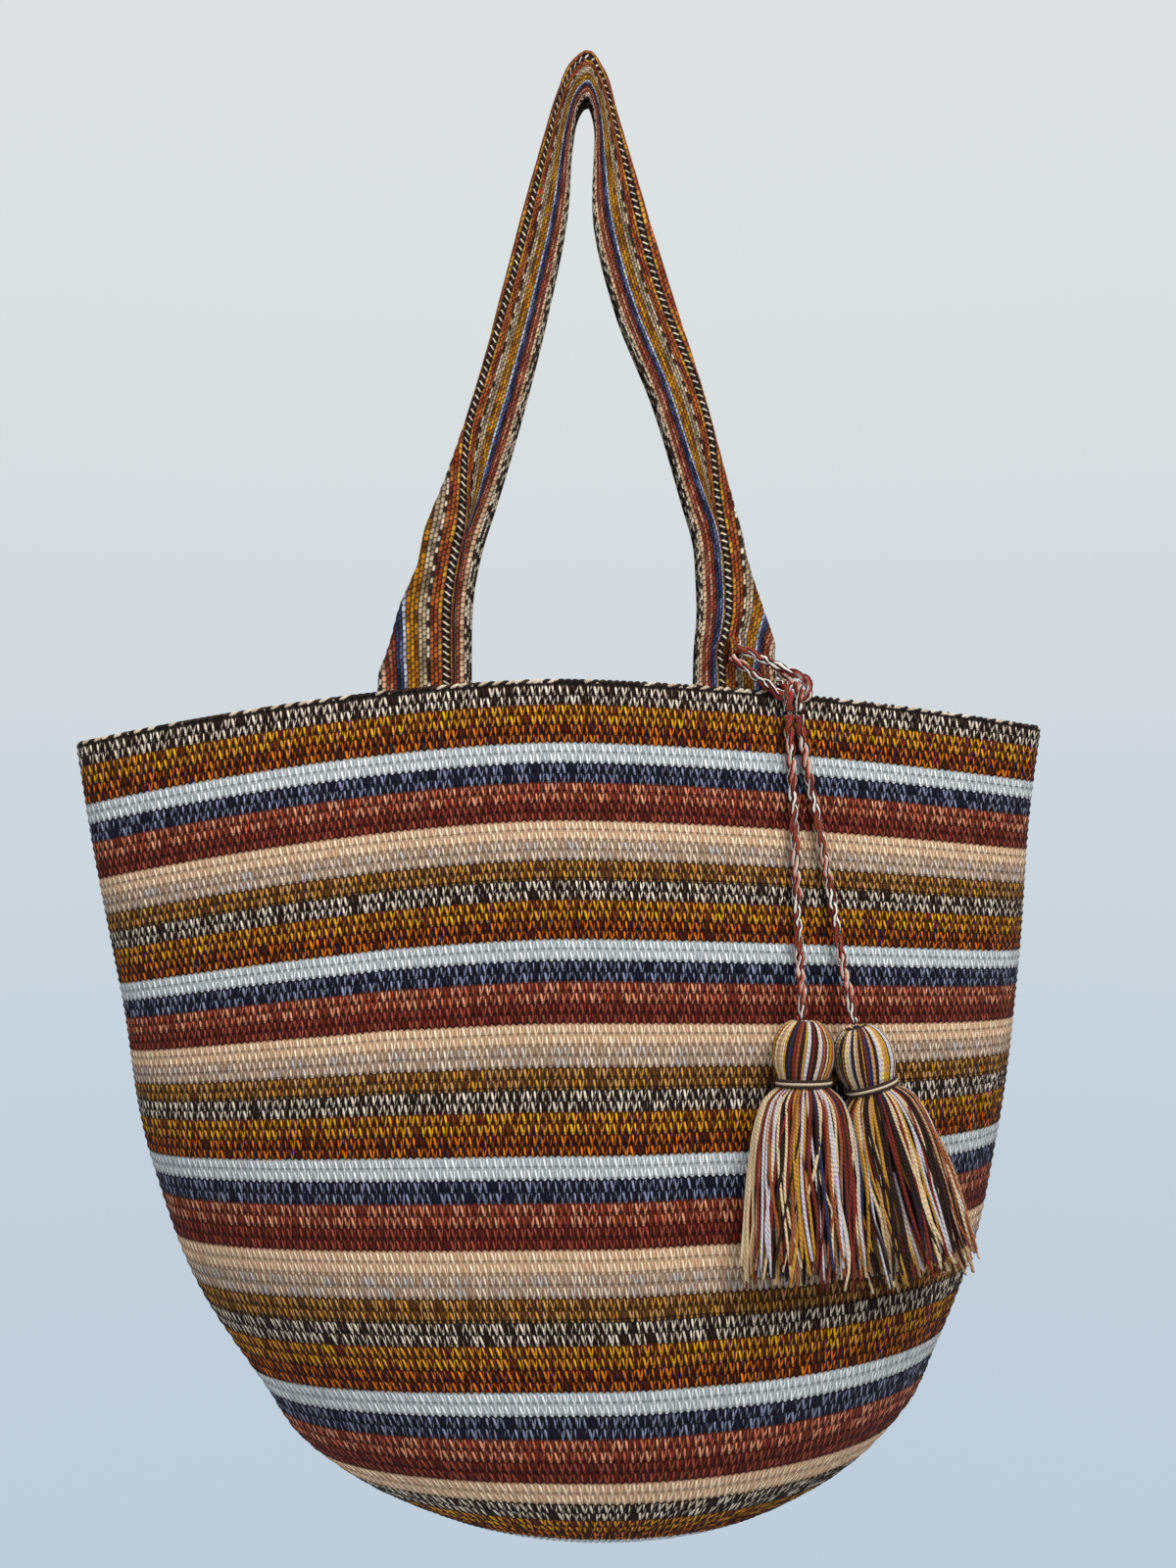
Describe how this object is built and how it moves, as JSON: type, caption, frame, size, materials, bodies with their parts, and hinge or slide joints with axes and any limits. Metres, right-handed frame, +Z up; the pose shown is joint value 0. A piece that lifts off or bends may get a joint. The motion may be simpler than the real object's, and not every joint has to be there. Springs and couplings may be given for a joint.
{
  "type": "crochet bag",
  "caption": "Striped crochet shoulder bag hanging by two woven straps, with a pair of yarn tassels on a twisted cord hitched to one strap.",
  "frame": {"origin": "where the straps rest on what holds the bag up, under the folded straps at their highest point and midway between the front and the back strap", "axes": "+Z up, -Y towards the front with the tassels, +X to the right seen from the front"},
  "size_m": [0.3989, 0.1322, 0.6046],
  "materials": {
    "crochet_yarn": "two-colour yarns crocheted in horizontal stripes, matt",
    "woven_strap": "warp-faced webbing with lengthwise stripes, matt",
    "twisted_cord": "two-ply twisted yarn cord, matt",
    "tassel_yarn": "loose cut yarns in many colours, matt",
    "binding_yarn": "pale yarn wound tight, matt"
  },
  "bodies": {
    "bag": {"bag_body": "crochet_yarn", "front_strap": "woven_strap", "back_strap": "woven_strap", "cord_hitch": "twisted_cord"},
    "left_tassel_hanging": {"left_cord": "twisted_cord", "left_tassel": "tassel_yarn", "left_tassel_binding": "binding_yarn"},
    "right_tassel_hanging": {"right_cord": "twisted_cord", "right_tassel": "tassel_yarn", "right_tassel_binding": "binding_yarn"}
  },
  "joints": [
    {"name": "left_tassel_swing", "type": "hinge", "parent": "bag", "child": "left_tassel_hanging", "pos_m": [0.0808, -0.0208, -0.2562], "axis": [-1, 0, 0], "range_deg": [0, 75]},
    {"name": "right_tassel_swing", "type": "hinge", "parent": "bag", "child": "right_tassel_hanging", "pos_m": [0.0849, -0.0208, -0.2562], "axis": [-1, 0, 0], "range_deg": [0, 75]}
  ]
}
